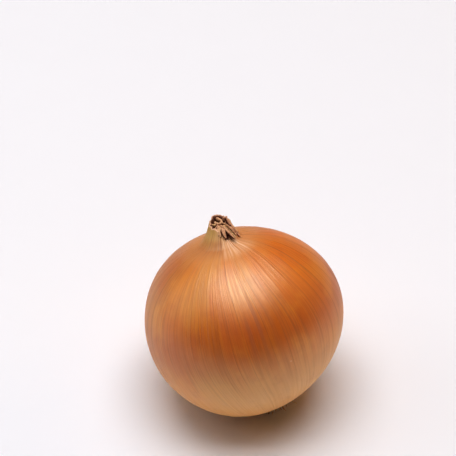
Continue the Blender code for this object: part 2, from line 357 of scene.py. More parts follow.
def collar_height(u):
    """Height of the collar's edge at the turn u, higher at the back than in front."""
    u = np.asarray(u, float)
    lean = 0.255 * np.sin(u) - 0.215 * np.cos(u) - 0.085 * np.cos(2 * u)
    tear = 0.03 * np.sin(3 * u + 0.6) + 0.02 * np.sin(5 * u + 2.0)
    off_notch = (u - NOTCH_SIDE + math.pi) % (2 * math.pi) - math.pi
    notch = NOTCH_DEPTH * np.exp(-((off_notch / NOTCH_WIDTH) ** 2))
    return COLLAR_HEIGHT * (1 + lean + tear) - notch


def collar_spread(u):
    """How far from the edge the skin starts to rise; least on the right."""
    u = np.asarray(u, float)
    return COLLAR_RADIUS * (1.36 - 0.16 * np.cos(u) - 0.07 * np.sin(u))


turns = np.linspace(0, 2 * math.pi, 73)
print("collar height in mm:", (1000 * collar_height(turns)[::18]).round(1))

# %% The pressed seat
SEAT_SLOPE = (0.068, -0.050)
SEAT_SPREAD = 0.020


def press_seat(points):
    """Tip the underside a little, so that the lowest spot lies under the weight."""
    points = points.copy()
    flat = points[..., :2]
    nearness = np.exp(-(flat**2).sum(axis=-1) / SEAT_SPREAD**2)
    lean = flat @ np.array(SEAT_SLOPE)
    points[..., 2] = points[..., 2] - np.where(points[..., 2] < 0, lean * nearness, 0)
    return points


print("seat reaches", round(1000 * SEAT_SPREAD), "mm from the middle")

# %% The whole skin
PLEATS = 11
PLEAT_DEPTH = 0.0003
PLEAT_REACH = 0.0030
DIMPLE_DEPTH = 0.0020
DIMPLE_SPREAD = 0.0065


def skin(phi, u):
    """The smooth skin, with collar, pleats, seat and root hollow."""
    phi = np.asarray(phi, float)
    reach = BELLY_RADIUS * np.sin(phi)
    upper = phi > math.pi / 2
    points = press_seat(plain_body(phi, u))
    out = np.maximum(reach - COLLAR_RADIUS, 0)
    rise = np.maximum(1 - out / collar_spread(u), 0) ** COLLAR_CURVE
    lift = np.where(upper, collar_height(u) * rise, 0)
    dimple = np.where(upper, 0, DIMPLE_DEPTH * np.exp(-((reach / DIMPLE_SPREAD) ** 2)))
    pleat = PLEAT_DEPTH * np.cos(PLEATS * u + 0.8 * np.sin(2 * u))
    gathered = np.where(upper, pleat * np.exp(-out / PLEAT_REACH), 0)
    return (
        points
        + GROWTH * lift[..., None]
        - ROOT * dimple[..., None]
        + around(u) * gathered[..., None]
    )


def skin_normal(phi, u):
    """Direction straight out of the skin, from four points close by."""
    step = 1e-4
    along = skin(phi + step, u) - skin(phi - step, u)
    across = skin(phi, u + step) - skin(phi, u - step)
    return unit(np.cross(across, along))


collar_edge = skin(math.pi - math.asin(COLLAR_RADIUS / BELLY_RADIUS), turns)
print("highest point of the collar in mm:", round(1000 * collar_edge[:, 2].max(), 1))

# %% [markdown]
# ## Places on the neck and on the table
# Leaves are easier to place in the neck's own directions: right, back and up its growth.
# These three are not square to each other, so the way back from a point needs the inverse
# of their matrix. Dot products would put the collar's inner wall in the wrong place.

# %% The neck's own directions
SOCKET_FLOOR = 0.0012
NECK_BASE = plain_body(math.pi, 0.0)
ROOT_BASE = skin(0.0, 0.0)


def in_neck(x, y, height):
    """The point in space that lies so far right, back and up the neck."""
    x, y, height = np.broadcast_arrays(x, y, height)
    return NECK_BASE + RIGHT * x[..., None] + BACK * y[..., None] + GROWTH * height[..., None]


def from_neck(points):
    """How far right, back and up the neck the points are: the reverse of in_neck."""
    sides = np.stack([RIGHT, BACK, GROWTH], axis=-1)
    return (points - NECK_BASE) @ np.linalg.inv(sides).T


def rim_place(u):
    """Distance from the neck's middle, direction and height of the collar's edge."""
    place = from_neck(skin(math.pi - math.asin(COLLAR_RADIUS / BELLY_RADIUS), u))
    right, back, height = place[..., 0], place[..., 1], place[..., 2]
    return np.hypot(right, back), np.arctan2(back, right), height


print("collar's edge from the neck's middle in mm:", (1000 * rim_place(turns)[0][::18]).round(1))


# %% Where the onion rests
def seat_place():
    """The point under the bulb's middle at which the table cuts off the rest spot."""
    phi, u = np.meshgrid(np.linspace(0, math.pi / 2, 60), np.linspace(0, 2 * math.pi, 90))
    lowest = skin(phi, u)[..., 2].min()
    return np.array([0.0, 0.0, lowest + REST_SPOT_DEPTH])


SEAT = seat_place()
print("belly centre above the table in mm:", round(-1000 * SEAT[2], 2))

# %% [markdown]
# ## Veins in the skin
# An onion's dry skin has some thirty main veins that run from root to neck, with finer
# fibres between them. Bump alone would vanish at the outline, so the main veins are raised
# in the mesh. The columns of the mesh crowd together at each vein, which keeps its edge
# crisp without a denser mesh everywhere.

# %% Columns that follow the veins
VEINS = 32
VEIN_SEED = 4
VEIN_STRAY = 0.22
WEAKEST_VEIN = 0.55
BETWEEN_VEINS = (0.0, 0.02, 0.045, 0.075, 0.12, 0.19, 0.29, 0.42)


def vein_places():
    """Turn and strength of each vein, drawn with a seed."""
    draw = random.Random(VEIN_SEED)
    pitch = 2 * math.pi / VEINS
    spots = [pitch * (k + draw.uniform(-VEIN_STRAY, VEIN_STRAY)) for k in range(VEINS)]
    return [(spot, draw.uniform(WEAKEST_VEIN, 1.0)) for spot in spots]


shares = list(BETWEEN_VEINS) + [1 - share for share in BETWEEN_VEINS[:0:-1]]
veins = vein_places()
longitudes = []
phases = []
strengths = []
for k, (spot, strength) in enumerate(veins):
    following = veins[(k + 1) % VEINS]
    gap = (following[0] - spot) % (2 * math.pi)
    for share in shares:
        longitudes.append(spot + share * gap)
        phases.append(k + share)
        strengths.append(strength if share < 0.5 else following[1])
longitudes = np.array(longitudes)
phases = np.array(phases)
strengths = np.array(strengths)
print(len(longitudes), "columns round the bulb")


# %% Relief of veins, gathers and soft dents
VEIN_HEIGHT = 0.00004
VEIN_WIDTH = 0.00040
VEIN_FADE = 0.012
GATHER_DEPTH = 0.00008
GATHER_START = 0.005
GATHER_REACH = 0.0065
DENT_DEPTH = 0.00012


def relief(phi, u, phase, strength):
    """Height of the skin's surface detail over its smooth form."""
    reach = BELLY_RADIUS * np.sin(phi)
    fade = np.minimum(1.0, reach / VEIN_FADE)
    spacing = 2 * math.pi * reach / VEINS
    off_vein = np.abs((phase + 0.5) % 1 - 0.5) * spacing
    ridge = VEIN_HEIGHT * strength * fade * np.exp(-((off_vein / VEIN_WIDTH) ** 2))
    gathers = np.exp(-np.maximum(reach - GATHER_START, 0) / GATHER_REACH)
    near_neck = np.where(phi > math.pi / 2, gathers, 0)
    fold = np.cos(37 * u + 1.7 * np.sin(3 * u)) * (0.6 + 0.4 * np.cos(5 * u + 1.0))
    fold = fold + 0.5 * np.cos(61 * u + 2.0 * np.sin(4 * u + 9 * phi))
    dent = np.sin(3 * u + 2.1 * phi) * np.sin(2.4 * phi + 0.7)
    dent = dent + 0.6 * np.sin(5 * u - 3.3 * phi + 1.1)
    dent = dent * np.sin(phi) ** 2
    return ridge + GATHER_DEPTH * near_neck * fold + DENT_DEPTH * dent


print("veins stand", round(1000 * VEIN_HEIGHT, 2), "mm proud at most")


# %% [markdown]
# ## The fine bulb mesh
# The mesh is one closed skin: up from the root hollow, over the belly, up the outside of
# the collar, across its torn edge and down inside to the socket's floor. The UV map stores
# which vein a point is near and how far up the onion it lies, and the finish reads that.

# %% Rings from root to neck
ROOT_RINGS = 24
LOWER_RINGS = 60
BELLY_RINGS = 39
NECK_RINGS = 58
ROOT_REACH = (0.0004, 0.0148)
NECK_REACH = (0.0185, COLLAR_RADIUS)


def ring_angles():
    """Angles of the rings, close together by the roots and by the neck."""
    root = np.arcsin(np.linspace(*ROOT_REACH, ROOT_RINGS) / BELLY_RADIUS)
    lower = np.linspace(root[-1], math.pi / 2, LOWER_RINGS + 1)[1:]
    top = math.pi - np.arcsin(np.linspace(*NECK_REACH, NECK_RINGS) / BELLY_RADIUS)
    belly = np.linspace(math.pi / 2, top[0], BELLY_RINGS)[1:-1]
    return np.concatenate([root, lower, belly, top])


angles = ring_angles()
print("rings:", len(angles))

# %% Wandering fibres and a torn edge
TEAR_DEPTH = 0.0002
TEAR_REACH = 0.0005
FRAY = 0.00003


def torn(u):
    """How far the collar's edge is torn down at the turn u."""
    nick = np.abs(np.sin(6.5 * u + 0.9 * np.sin(2 * u))) ** 6
    nick = nick + 0.5 * np.abs(np.sin(11 * u + 2.0)) ** 4
    return -TEAR_DEPTH * nick + FRAY * np.sin(17 * u + np.sin(5 * u))


def meander(phi, u):
    """The fibres wander a little off their meridians."""
    sway = 0.045 * np.sin(2.3 * phi + 1.5 * np.sin(u + 0.4)) + 0.02 * np.sin(5.1 * phi + 2 * u)
    return sway * np.sin(phi) ** 0.5


phi_grid, u_grid = np.meshgrid(angles, longitudes, indexing="ij")
u_grid = u_grid + meander(phi_grid, u_grid)
outer = skin(phi_grid, u_grid)
height = relief(phi_grid, u_grid, phases[None, :], strengths[None, :])
outer = outer + skin_normal(phi_grid, u_grid) * height[..., None]
reach = BELLY_RADIUS * np.sin(phi_grid)
by_rim = np.where(phi_grid > math.pi / 2, np.exp(-(reach - COLLAR_RADIUS) / TEAR_REACH), 0)
outer = outer + GROWTH * (torn(u_grid) * by_rim)[..., None]
print("outer skin grid:", outer.shape[:2])

# %% Over the rim and down the socket
RIM_WALL = 0.00034
RIM_ROUNDING = 0.00005
RIM_DROP = 0.0003
INNER_RINGS = 10
INNER_RIPPLE = 0.00008
SOCKET_RADIUS = 0.0034
SOCKET_FLOOR_RINGS = (0.0022, 0.0010)
INNER_STEP_UP = 0.01

edge = outer[-1]
rim_u = u_grid[-1]
inward = -around(rim_u)
rows = [edge + inward * 0.4 * RIM_WALL + GROWTH * RIM_ROUNDING]
rows.append(edge + inward * 0.9 * RIM_WALL - GROWTH * 0.8 * RIM_ROUNDING)
rim_out, rim_turn, rim_height = rim_place(rim_u)
for step in range(1, INNER_RINGS + 1):
    share = step / INNER_RINGS
    radius = (1 - share) * (rim_out - 1.2 * RIM_WALL) + share * SOCKET_RADIUS
    radius = radius + INNER_RIPPLE * np.cos(23 * rim_u + 3 * share)
    level = (1 - share) * (rim_height - RIM_DROP) + share * SOCKET_FLOOR
    rows.append(in_neck(radius * np.cos(rim_turn), radius * np.sin(rim_turn), level))
for radius in SOCKET_FLOOR_RINGS:
    rows.append(in_neck(radius * np.cos(rim_turn), radius * np.sin(rim_turn), SOCKET_FLOOR))
rows = np.concatenate([outer, np.array(rows)])
inner_count = len(rows) - len(angles)
inner_shares = 1.0 + INNER_STEP_UP * np.arange(1, inner_count + 1)
share_up = np.concatenate([angles / math.pi, inner_shares])
print("whole skin grid:", rows.shape[:2])


# %% [markdown]
# ## Finish of the skin
# Dry onion skin is a thin golden film over pale flesh. It is satin, not glossy. Its colour
# runs in fibres from root to neck: gold between them, rust brown on them, and deeper orange
# in random patches that lean to the right flank, where the lean is painted orange reflection.
# A darker amber band just above the widest girth is painted shade, and so is a darker sienna
# on the upper back left. The lower half is paler towards the roots: partly skin that the
# soil kept from the sun, partly a painted reflection of the pale table. A picture of onion
# skin would stretch and repeat, so all of it is drawn with noise stretched along the fibres.
# The UV map gives the direction, and turning its first coordinate into a circle hides the
# seam.

# %% Directions on the skin
skin_material, tree, shader = new_material("golden_skin")
grain = add_node(tree, "ShaderNodeUVMap", uv_map="grain").outputs["UV"]
grain = add_node(tree, "ShaderNodeSeparateXYZ", {"Vector": grain})
phase, up = grain.outputs["X"], grain.outputs["Y"]
turn = calculate(tree, "MULTIPLY", phase, 2 * math.pi / VEINS)
circle = (calculate(tree, "COSINE", turn), calculate(tree, "SINE", turn))
print("directions made with", len(tree.nodes), "nodes")


# %% Noise along the fibres and in clouds
def fibre_noise(across, along, detail=3.0, roughness=0.6):
    """Noise with so many lumps round the bulb (about six times across) and along it."""
    place = add_node(tree, "ShaderNodeCombineXYZ", {
        "X": calculate(tree, "MULTIPLY", circle[0], across),
        "Y": calculate(tree, "MULTIPLY", circle[1], across),
        "Z": calculate(tree, "MULTIPLY", up, along),
    })
    return grain_noise(tree, place.outputs["Vector"], 1.0, detail, roughness)


fine = fibre_noise(62.0, 5.0)
medium = fibre_noise(19.0, 2.2)
broad = fibre_noise(2.1, 2.6, 4.0)
objects = add_node(tree, "ShaderNodeTexCoord").outputs["Object"]
mottle = grain_noise(tree, objects, 130.0, 4.0, 0.62)
cloud = grain_noise(tree, objects, 42.0, 4.0, 0.55)
print("noises made, now", len(tree.nodes), "nodes")

# %% [markdown]
# ## Veins, threads and hairlines
# Three kinds of line run up the skin. The main veins have known places, so each is drawn at
# its distance in millimetres from the mesh's ridge, with a depth of its own. The finer
# lines have none. A noise stretched along the fibres crosses its middle value on thin
# wandering curves, and those make good threads and hairlines. Painted stripes would be too
# even.

# %% Vein lines
VEIN_LINE_MM = (0.05, 0.22)
VEIN_DEPTHS = (0.25, 0.95)

girth = calculate(tree, "SINE", calculate(tree, "MULTIPLY", up, math.pi))
to_vein = calculate(tree, "PINGPONG", phase, 0.5)
vein_gap = 2 * math.pi * BELLY_RADIUS / VEINS / MM
off_vein = calculate(tree, "MULTIPLY", calculate(tree, "MULTIPLY", to_vein, girth), vein_gap)
vein_line = ramp(tree, off_vein, *VEIN_LINE_MM, 1.0, 0.0)
vein_number = calculate(tree, "MODULO", calculate(tree, "ROUND", phase), float(VEINS))
vein_draw = add_node(tree, "ShaderNodeTexWhiteNoise", {"W": vein_number}, noise_dimensions="1D")
vein_depth = ramp(tree, vein_draw.outputs["Value"], 0.0, 1.0, *VEIN_DEPTHS)
vein_line = calculate(tree, "MULTIPLY", vein_line, vein_depth)
vein_breaks = ramp(tree, fibre_noise(9.0, 7.0), 0.30, 0.60, 0.3, 1.0)
vein_line = calculate(tree, "MULTIPLY", vein_line, vein_breaks)
print("veins are", round(vein_gap, 1), "mm apart at the belly")


# %% Threads and hairlines
def threads(across, along, width, patches):
    """Thin lines where a noise crosses its middle value, broken up by another noise."""
    off = calculate(tree, "SUBTRACT", fibre_noise(across, along, 1.0), 0.5)
    off = calculate(tree, "ABSOLUTE", off)
    line = ramp(tree, off, 0.3 * width, width, 1.0, 0.0)
    return calculate(tree, "MULTIPLY", line, ramp(tree, fibre_noise(patches, 5.0), 0.36, 0.62))


thread = threads(13.0, 0.8, 0.045, 7.0)
hairline = threads(34.0, 1.1, 0.09, 11.0)
print("lines made, now", len(tree.nodes), "nodes")

# %% [markdown]
# ## Colours of the belly
# The colours are laid one over another, as a painter glazes: first the ground, then the
# amber band of painted shade, the flanks with their painted reflection and shade, pale and
# dark clouds, the paler lower half with its painted table reflection, and last the lines
# and flecks. Every place is a share of the way up, from 0 at the roots to 1 at the
# collar's edge, or a turn round the axis. A single ramp from root to neck would look like
# a lacquered ball.

# %% Ground, shade band and flanks
GOLD = (0.74, 0.265, 0.018)
ORANGE_AND_REFLECTION = (0.78, 0.200, 0.002)
AMBER_AND_SHADE = (0.56, 0.100, 0.001)
SIENNA_SHADE = (0.52, 0.150, 0.012)
ORANGE_REFLECTION_FLANK = math.radians(-10)
SIENNA_SHADE_FLANK = math.radians(135)
SHADE_BAND_UP = 0.56
SHADE_BAND_HALF_WIDTH = (0.02, 0.14)
SHADE_BAND_SHARE = 0.60
SIENNA_SHADE_UP = (0.60, 0.72)
SIENNA_SHADE_SHARE = 0.8


def facing(side):
    """1 on the flank at the given turn, 0 a quarter turn off, -1 opposite."""
    return calculate(tree, "COSINE", calculate(tree, "SUBTRACT", turn, side))


# Orange falls in random patches, and its lean towards the right flank is painted orange reflection.
tone = calculate(tree, "MULTIPLY_ADD", facing(ORANGE_REFLECTION_FLANK), 0.15, broad)
tone = ramp(tree, tone, 0.36, 0.66)
colour = blend(tree, tone, GOLD, ORANGE_AND_REFLECTION)
# A darker amber band just above the girth is painted shade: the dark room seen in the satin skin.
off_shade_band = calculate(tree, "ABSOLUTE", calculate(tree, "SUBTRACT", up, SHADE_BAND_UP))
colour = blend(tree, ramp(tree, off_shade_band, *SHADE_BAND_HALF_WIDTH, SHADE_BAND_SHARE, 0.0), colour, AMBER_AND_SHADE)
# A darker sienna on the upper back left flank is painted shade.
sienna_shade = ramp(tree, facing(SIENNA_SHADE_FLANK), -0.5, 0.5)
sienna_shade = calculate(tree, "MULTIPLY", sienna_shade, ramp(tree, up, *SIENNA_SHADE_UP))
colour = blend(tree, calculate(tree, "MULTIPLY", sienna_shade, SIENNA_SHADE_SHARE), colour, SIENNA_SHADE)
print("ground, belt and flanks laid, now", len(tree.nodes), "nodes")

# %% Clouds and the paler lower half
PALE = (0.86, 0.33, 0.028)
BLANCHED_AND_REFLECTION = (0.98, 0.49, 0.15)
BLANCHED_AND_REFLECTION_UP = (0.26, 0.55)
PALE_FIBRE_SHARE = 0.22
PALE_CLOUD_SHARE = 0.40
AMBER_CLOUD_SHARE = 0.35

colour = blend(tree, ramp(tree, medium, 0.45, 0.75, 0.0, PALE_FIBRE_SHARE), colour, PALE)
colour = blend(tree, ramp(tree, cloud, 0.50, 0.62, 0.0, PALE_CLOUD_SHARE), colour, PALE)
colour = blend(tree, ramp(tree, cloud, 0.38, 0.48, AMBER_CLOUD_SHARE, 0.0), colour, AMBER_AND_SHADE)
# Paler towards the roots: partly blanched skin, partly painted reflection of the pale table.
colour = blend(tree, ramp(tree, up, *BLANCHED_AND_REFLECTION_UP, 1.0, 0.0), colour, BLANCHED_AND_REFLECTION)
print("clouds laid, now", len(tree.nodes), "nodes")

# %% Fibres and lines
DEEP = (0.52, 0.085, 0.001)
RUST = (0.29, 0.042, 0.001)
LINES_UP = (0.34, 0.60)
LOWER_LINES_SHARE = 0.30
DEEP_FIBRE_SHARE = 0.30
MOTTLE_SHARE = 0.20
HAIRLINE_SHARE = 0.15
THREAD_SHARE = 0.28
VEIN_SHARE = 0.65

line_share = ramp(tree, up, *LINES_UP, LOWER_LINES_SHARE, 1.0)
deep_fibre = ramp(tree, fine, 0.42, 0.66, 0.0, DEEP_FIBRE_SHARE)
deep_fibre = calculate(tree, "MULTIPLY", deep_fibre, line_share)
colour = blend(tree, deep_fibre, colour, DEEP)
colour = blend(tree, ramp(tree, mottle, 0.55, 0.78, 0.0, MOTTLE_SHARE), colour, DEEP)
lines = ((hairline, HAIRLINE_SHARE), (thread, THREAD_SHARE), (vein_line, VEIN_SHARE))
for line, share in lines:
    line = calculate(tree, "MULTIPLY", line, line_share)
    colour = blend(tree, calculate(tree, "MULTIPLY", line, share), colour, RUST)
print("lines laid, now", len(tree.nodes), "nodes")

# %% Pale and dark flecks
BLUSH = (0.92, 0.55, 0.33)
FLECKS_PER_METRE = 110.0
FLECK_SIZE = (0.025, 0.050)
FLECK_SHARE = 0.6
PALE_DRAW = (0.80, 0.95)
DARK_DRAW = (0.20, 0.05)

cells = {"Vector": objects, "Scale": FLECKS_PER_METRE}
cells = add_node(tree, "ShaderNodeTexVoronoi", cells)
fleck = ramp(tree, cells.outputs["Distance"], *FLECK_SIZE, FLECK_SHARE, 0.0)
fleck_draw = add_node(tree, "ShaderNodeSeparateColor", {"Color": cells.outputs["Color"]})
fleck_draw = fleck_draw.outputs["Red"]
pale_fleck = calculate(tree, "MULTIPLY", fleck, ramp(tree, fleck_draw, *PALE_DRAW))
dark_fleck = calculate(tree, "MULTIPLY", fleck, ramp(tree, fleck_draw, *DARK_DRAW))
colour = blend(tree, pale_fleck, colour, BLUSH)
colour = blend(tree, dark_fleck, colour, RUST)
print("flecks laid, now", len(tree.nodes), "nodes")

# %% [markdown]
# ## Colours by the neck
# Where the skin gathers it is thicker and drier: straw all round, with rust in the creases.
# Each side weathers in its own way: olive at the left, umber and tan in front, a paler
# blush at the front right. The torn edge is rosy and the socket lies in shade. All of this
# follows from how far up and how far round a point is, so no second material is needed,
# which would leave a hard border.

# %% Straw, blush and umber
STRAW = (0.68, 0.28, 0.075)
UMBER = (0.50, 0.150, 0.012)
TAN_LEAF = (0.78, 0.45, 0.19)
FRONT_FLANK = math.radians(-125)
BLUSH_FLANK = math.radians(-52)
STRAW_UP = (0.79, 0.93)
BLUSH_UP = (0.85, 0.915)
UMBER_UP = (0.86, 0.93)
UMBER_END_UP = (0.935, 0.955)
TAN_UP = (0.940, 0.955)
STRAW_SHARE = 0.80
BLUSH_SHARES = (0.15, 0.9)
UMBER_SHARE = 0.75
TAN_SHARE = 0.8

colour = blend(tree, ramp(tree, up, *STRAW_UP, 0.0, STRAW_SHARE), colour, STRAW)
blush = ramp(tree, facing(BLUSH_FLANK), 0.70, 0.97)
blush = calculate(tree, "MULTIPLY", blush, ramp(tree, up, *BLUSH_UP))
blush = calculate(tree, "MULTIPLY", blush, ramp(tree, medium, 0.42, 0.56, *BLUSH_SHARES))
colour = blend(tree, blush, colour, BLUSH)
front = facing(FRONT_FLANK)
umber = calculate(tree, "MULTIPLY", ramp(tree, front, 0.40, 0.95), ramp(tree, up, *UMBER_UP))
umber = calculate(tree, "MULTIPLY", umber, ramp(tree, up, *UMBER_END_UP, UMBER_SHARE, 0.0))
colour = blend(tree, umber, colour, UMBER)
tan_leaf = calculate(tree, "MULTIPLY", ramp(tree, front, 0.45, 0.85), ramp(tree, up, *TAN_UP))
colour = blend(tree, calculate(tree, "MULTIPLY", tan_leaf, TAN_SHARE), colour, TAN_LEAF)
print("neck's front laid, now", len(tree.nodes), "nodes")

# %% Olive side, creases, torn edge and socket
OLIVE = (0.60, 0.34, 0.050)
ROSY = (0.90, 0.52, 0.34)
SHADE = (0.050, 0.008, 0.003)
OLIVE_FLANK = math.radians(188)
NECK_UP = (0.86, 0.965)
OLIVE_UP = (0.915, 0.965)
EDGE_UP = (0.9630, 0.9655)
SOCKET_UP = (1.018, 1.028)
OLIVE_SHARE = 0.75
CREASE_SHARE = 0.55
EDGE_SHARE = 0.90
SOCKET_SHARE = 0.95

near_neck = ramp(tree, up, *NECK_UP)
olive = calculate(tree, "MULTIPLY_ADD", mottle, 0.9, facing(OLIVE_FLANK))
olive = calculate(tree, "MULTIPLY", ramp(tree, olive, 0.70, 1.25), ramp(tree, up, *OLIVE_UP))
colour = blend(tree, calculate(tree, "MULTIPLY", olive, OLIVE_SHARE), colour, OLIVE)
crease = calculate(tree, "MULTIPLY", threads(9.0, 0.6, 0.10, 5.0), near_neck)
colour = blend(tree, calculate(tree, "MULTIPLY", crease, CREASE_SHARE), colour, RUST)
colour = blend(tree, ramp(tree, up, *EDGE_UP, 0.0, EDGE_SHARE), colour, ROSY)
colour = blend(tree, ramp(tree, up, *SOCKET_UP, 0.0, SOCKET_SHARE), colour, SHADE)
tree.links.new(colour, shader.inputs["Base Color"])
print("colours done, now", len(tree.nodes), "nodes")

# %% [markdown]
# ## Gloss and grooves
# The papery skin has a satin gloss that dulls at the gathered neck and along the lines. A
# glossy coat would give a sharper, second highlight, which onion skin doesn't have. The
# reflection is tinted a little, because it passes through the film. Fine grooves along the
# fibres come from bump: they are far too shallow to show at the outline.

# %% Gloss
SKIN_ROUGHNESS = (0.36, 0.48)
NECK_ROUGHER = 0.20
LINE_ROUGHER = 0.05
SKIN_IOR = 1.8
SKIN_SPECULAR = 0.88
FILM_TINT = (0.90, 0.95, 0.76, 1.0)

rough = ramp(tree, fine, 0.3, 0.7, *SKIN_ROUGHNESS)
rough = calculate(tree, "MULTIPLY_ADD", near_neck, NECK_ROUGHER, rough)
for line, share in lines:
    rough = calculate(tree, "MULTIPLY_ADD", line, LINE_ROUGHER, rough)
tree.links.new(rough, shader.inputs["Roughness"])
shader.inputs["IOR"].default_value = SKIN_IOR
shader.inputs["Specular IOR Level"].default_value = SKIN_SPECULAR
shader.inputs["Specular Tint"].default_value = FILM_TINT
print("skin roughness from", SKIN_ROUGHNESS[0], "to", SKIN_ROUGHNESS[1])

# %% Grooves
GROOVE_DEPTH = 0.0001
GROOVE_STRENGTH = 0.4

grooves = calculate(tree, "ADD", fine, calculate(tree, "MULTIPLY", medium, 0.8))
grooves = calculate(tree, "MULTIPLY_ADD", thread, -0.5, grooves)
grooves = calculate(tree, "MULTIPLY_ADD", hairline, -0.6, grooves)
bump = {"Height": grooves, "Strength": GROOVE_STRENGTH, "Distance": GROOVE_DEPTH}
bump = add_node(tree, "ShaderNodeBump", bump)
tree.links.new(bump.outputs["Normal"], shader.inputs["Normal"])
print("skin finish has", len(tree.nodes), "nodes")

# %% [markdown]
# ## The bulb itself
# The grid of rings becomes faces, and a fan of triangles closes each end. The underside is
# pressed flat at the table, so the onion stands on a small spot and doesn't sink in. The
# last column's UVs run on to the number of veins instead of back to 0, or the whole pattern
# would be squeezed into one column.

# %% Make the bulb
def closed_grid(rows, start, end):
    """Points, faces and UVs of rings that close on a point at both ends."""
    count = rows.shape[1]
    points = list(rows.reshape(-1, 3))
    uv_across = np.append(phases, VEINS)
    faces = []
    uvs = []
    for row in range(len(rows) - 1):
        for k in range(count):
            a = row * count + k
            b = row * count + (k + 1) % count
            faces.append((a, b, b + count, a + count))
            left, right = uv_across[k], uv_across[k + 1]
            low, high = share_up[row], share_up[row + 1]
            uvs += [(left, low), (right, low), (right, high), (left, high)]
    for tip, row in ((start, 0), (end, len(rows) - 1)):
        points.append(tip)
        hub = len(points) - 1
        for k in range(count):
            a = row * count + k
            b = row * count + (k + 1) % count
            pair = [(a, uv_across[k]), (b, uv_across[k + 1])]
            pair = pair if row else pair[::-1]
            faces.append((pair[0][0], pair[1][0], hub))
            level = share_up[row]
            uvs += [(pair[0][1], level), (pair[1][1], level), (pair[0][1], level)]
    return np.array(points), faces, uvs


points, faces, uvs = closed_grid(rows, ROOT_BASE, in_neck(0.0, 0.0, SOCKET_FLOOR))
points = points - SEAT
points[:, 2] = np.maximum(points[:, 2], 0.0)
bulb = new_piece("bulb_skin", points, faces, uvs, skin_material)
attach(bulb, "root")
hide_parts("bulb")

# %% [markdown]
# ## Leaves in the neck
# The leaves dried, shrank and were crushed together where they left the bulb. What is left
# is a bundle of thin sheets: some rolled up in the socket, some folded over its edge on the
# right and at the front. Cloth simulation gives creases by chance. These few leaves have
# known places, so each is laid along a smooth path and given a folded cross section.

# %% Paths on the neck
def smooth_path(stations, count):
    """Points along a smooth curve that passes through all the stations."""
    stations = np.asarray(stations, float)
    padded = np.vstack([2 * stations[0] - stations[1], stations, 2 * stations[-1] - stations[-2]])
    places = []
    for t in np.linspace(0, len(stations) - 1, count):
        k = min(int(t), len(stations) - 2)
        f = t - k
        a, b, c, d = padded[k : k + 4]
        curve = 2 * b + (c - a) * f + (2 * a - 5 * b + 4 * c - d) * f**2
        places.append(0.5 * (curve + (3 * b - a - 3 * c + d) * f**3))
    return np.array(places)


def neck_points(stations):
    """Stations given in millimetres right, back and up the neck, as points in space."""
    stations = np.asarray(stations, float) * MM
    return in_neck(stations[..., 0], stations[..., 1], stations[..., 2])


print("neck's foot in mm:", (1000 * neck_points((0.0, 0.0, 0.0))).round(1))

# %% Crumpled sheets
LEAF_THICKNESS = 0.00026
SHEET_UV_WIDTH = 0.8


def crumple(grid, depth, size, offset):
    """Push the points of a grid in and out by smooth noise, the same on every run."""
    normal = unit(np.cross(np.gradient(grid, axis=0), np.gradient(grid, axis=1)))
    moved = grid.copy()
    for index in np.ndindex(grid.shape[:2]):
        place = Vector(grid[index] / size) + Vector((offset, 0.0, 0.0))
        moved[index] += normal[index] * depth * noise.noise(place)
    return moved


class Bundle:
    """Points, faces and UVs of several closed sheets that make one piece."""

    def __init__(self):
        self.points = []
        self.faces = []
        self.uvs = []
        self.sheets = 0

    def add_sheet(self, grid, thickness=LEAF_THICKNESS):
        """Give the grid a thickness and close it all round."""
        rows, columns = grid.shape[:2]
        normal = unit(np.cross(np.gradient(grid, axis=0), np.gradient(grid, axis=1)))
        thickness = np.broadcast_to(thickness, (rows, columns))[..., None]
        first = len(self.points)
        other = rows * columns
        self.points += list((grid + normal * thickness / 2).reshape(-1, 3))
        self.points += list((grid - normal * thickness / 2).reshape(-1, 3))
        spot = {}
        for i in range(rows):
            for j in range(columns):
                uv = (self.sheets + SHEET_UV_WIDTH * j / (columns - 1), i / (rows - 1))
                spot[first + i * columns + j] = uv
        for a in list(spot):
            spot[a + other] = spot[a]
        faces = []
        for i in range(rows - 1):
            for j in range(columns - 1):
                a = first + i * columns + j
                quad = (a, a + columns, a + columns + 1, a + 1)
                faces += [quad, tuple(k + other for k in quad[::-1])]
        border = [first + i * columns for i in range(rows)]
        border += [first + (rows - 1) * columns + j for j in range(1, columns)]
        border += [first + i * columns + columns - 1 for i in range(rows - 2, -1, -1)]
        border += [first + j for j in range(columns - 2, 0, -1)]
        for a, b in zip(border, border[1:] + border[:1]):
            faces.append((b, a, a + other, b + other))
        self.faces += faces
        self.uvs += [spot[k] for face in faces for k in face]
        self.sheets += 1


leaves = Bundle()
print("a leaf is", round(1000 * LEAF_THICKNESS, 2), "mm thick")

# %% [markdown]
# ## Rolled leaves
# In the socket the leaves stand on end, curled like paper scrolls, and their dry crests
# swell into rounded lips. Seen from above, each is a curve with a height at every station,
# all in millimetres. A spiral from a formula would be too neat for leaves that were torn.

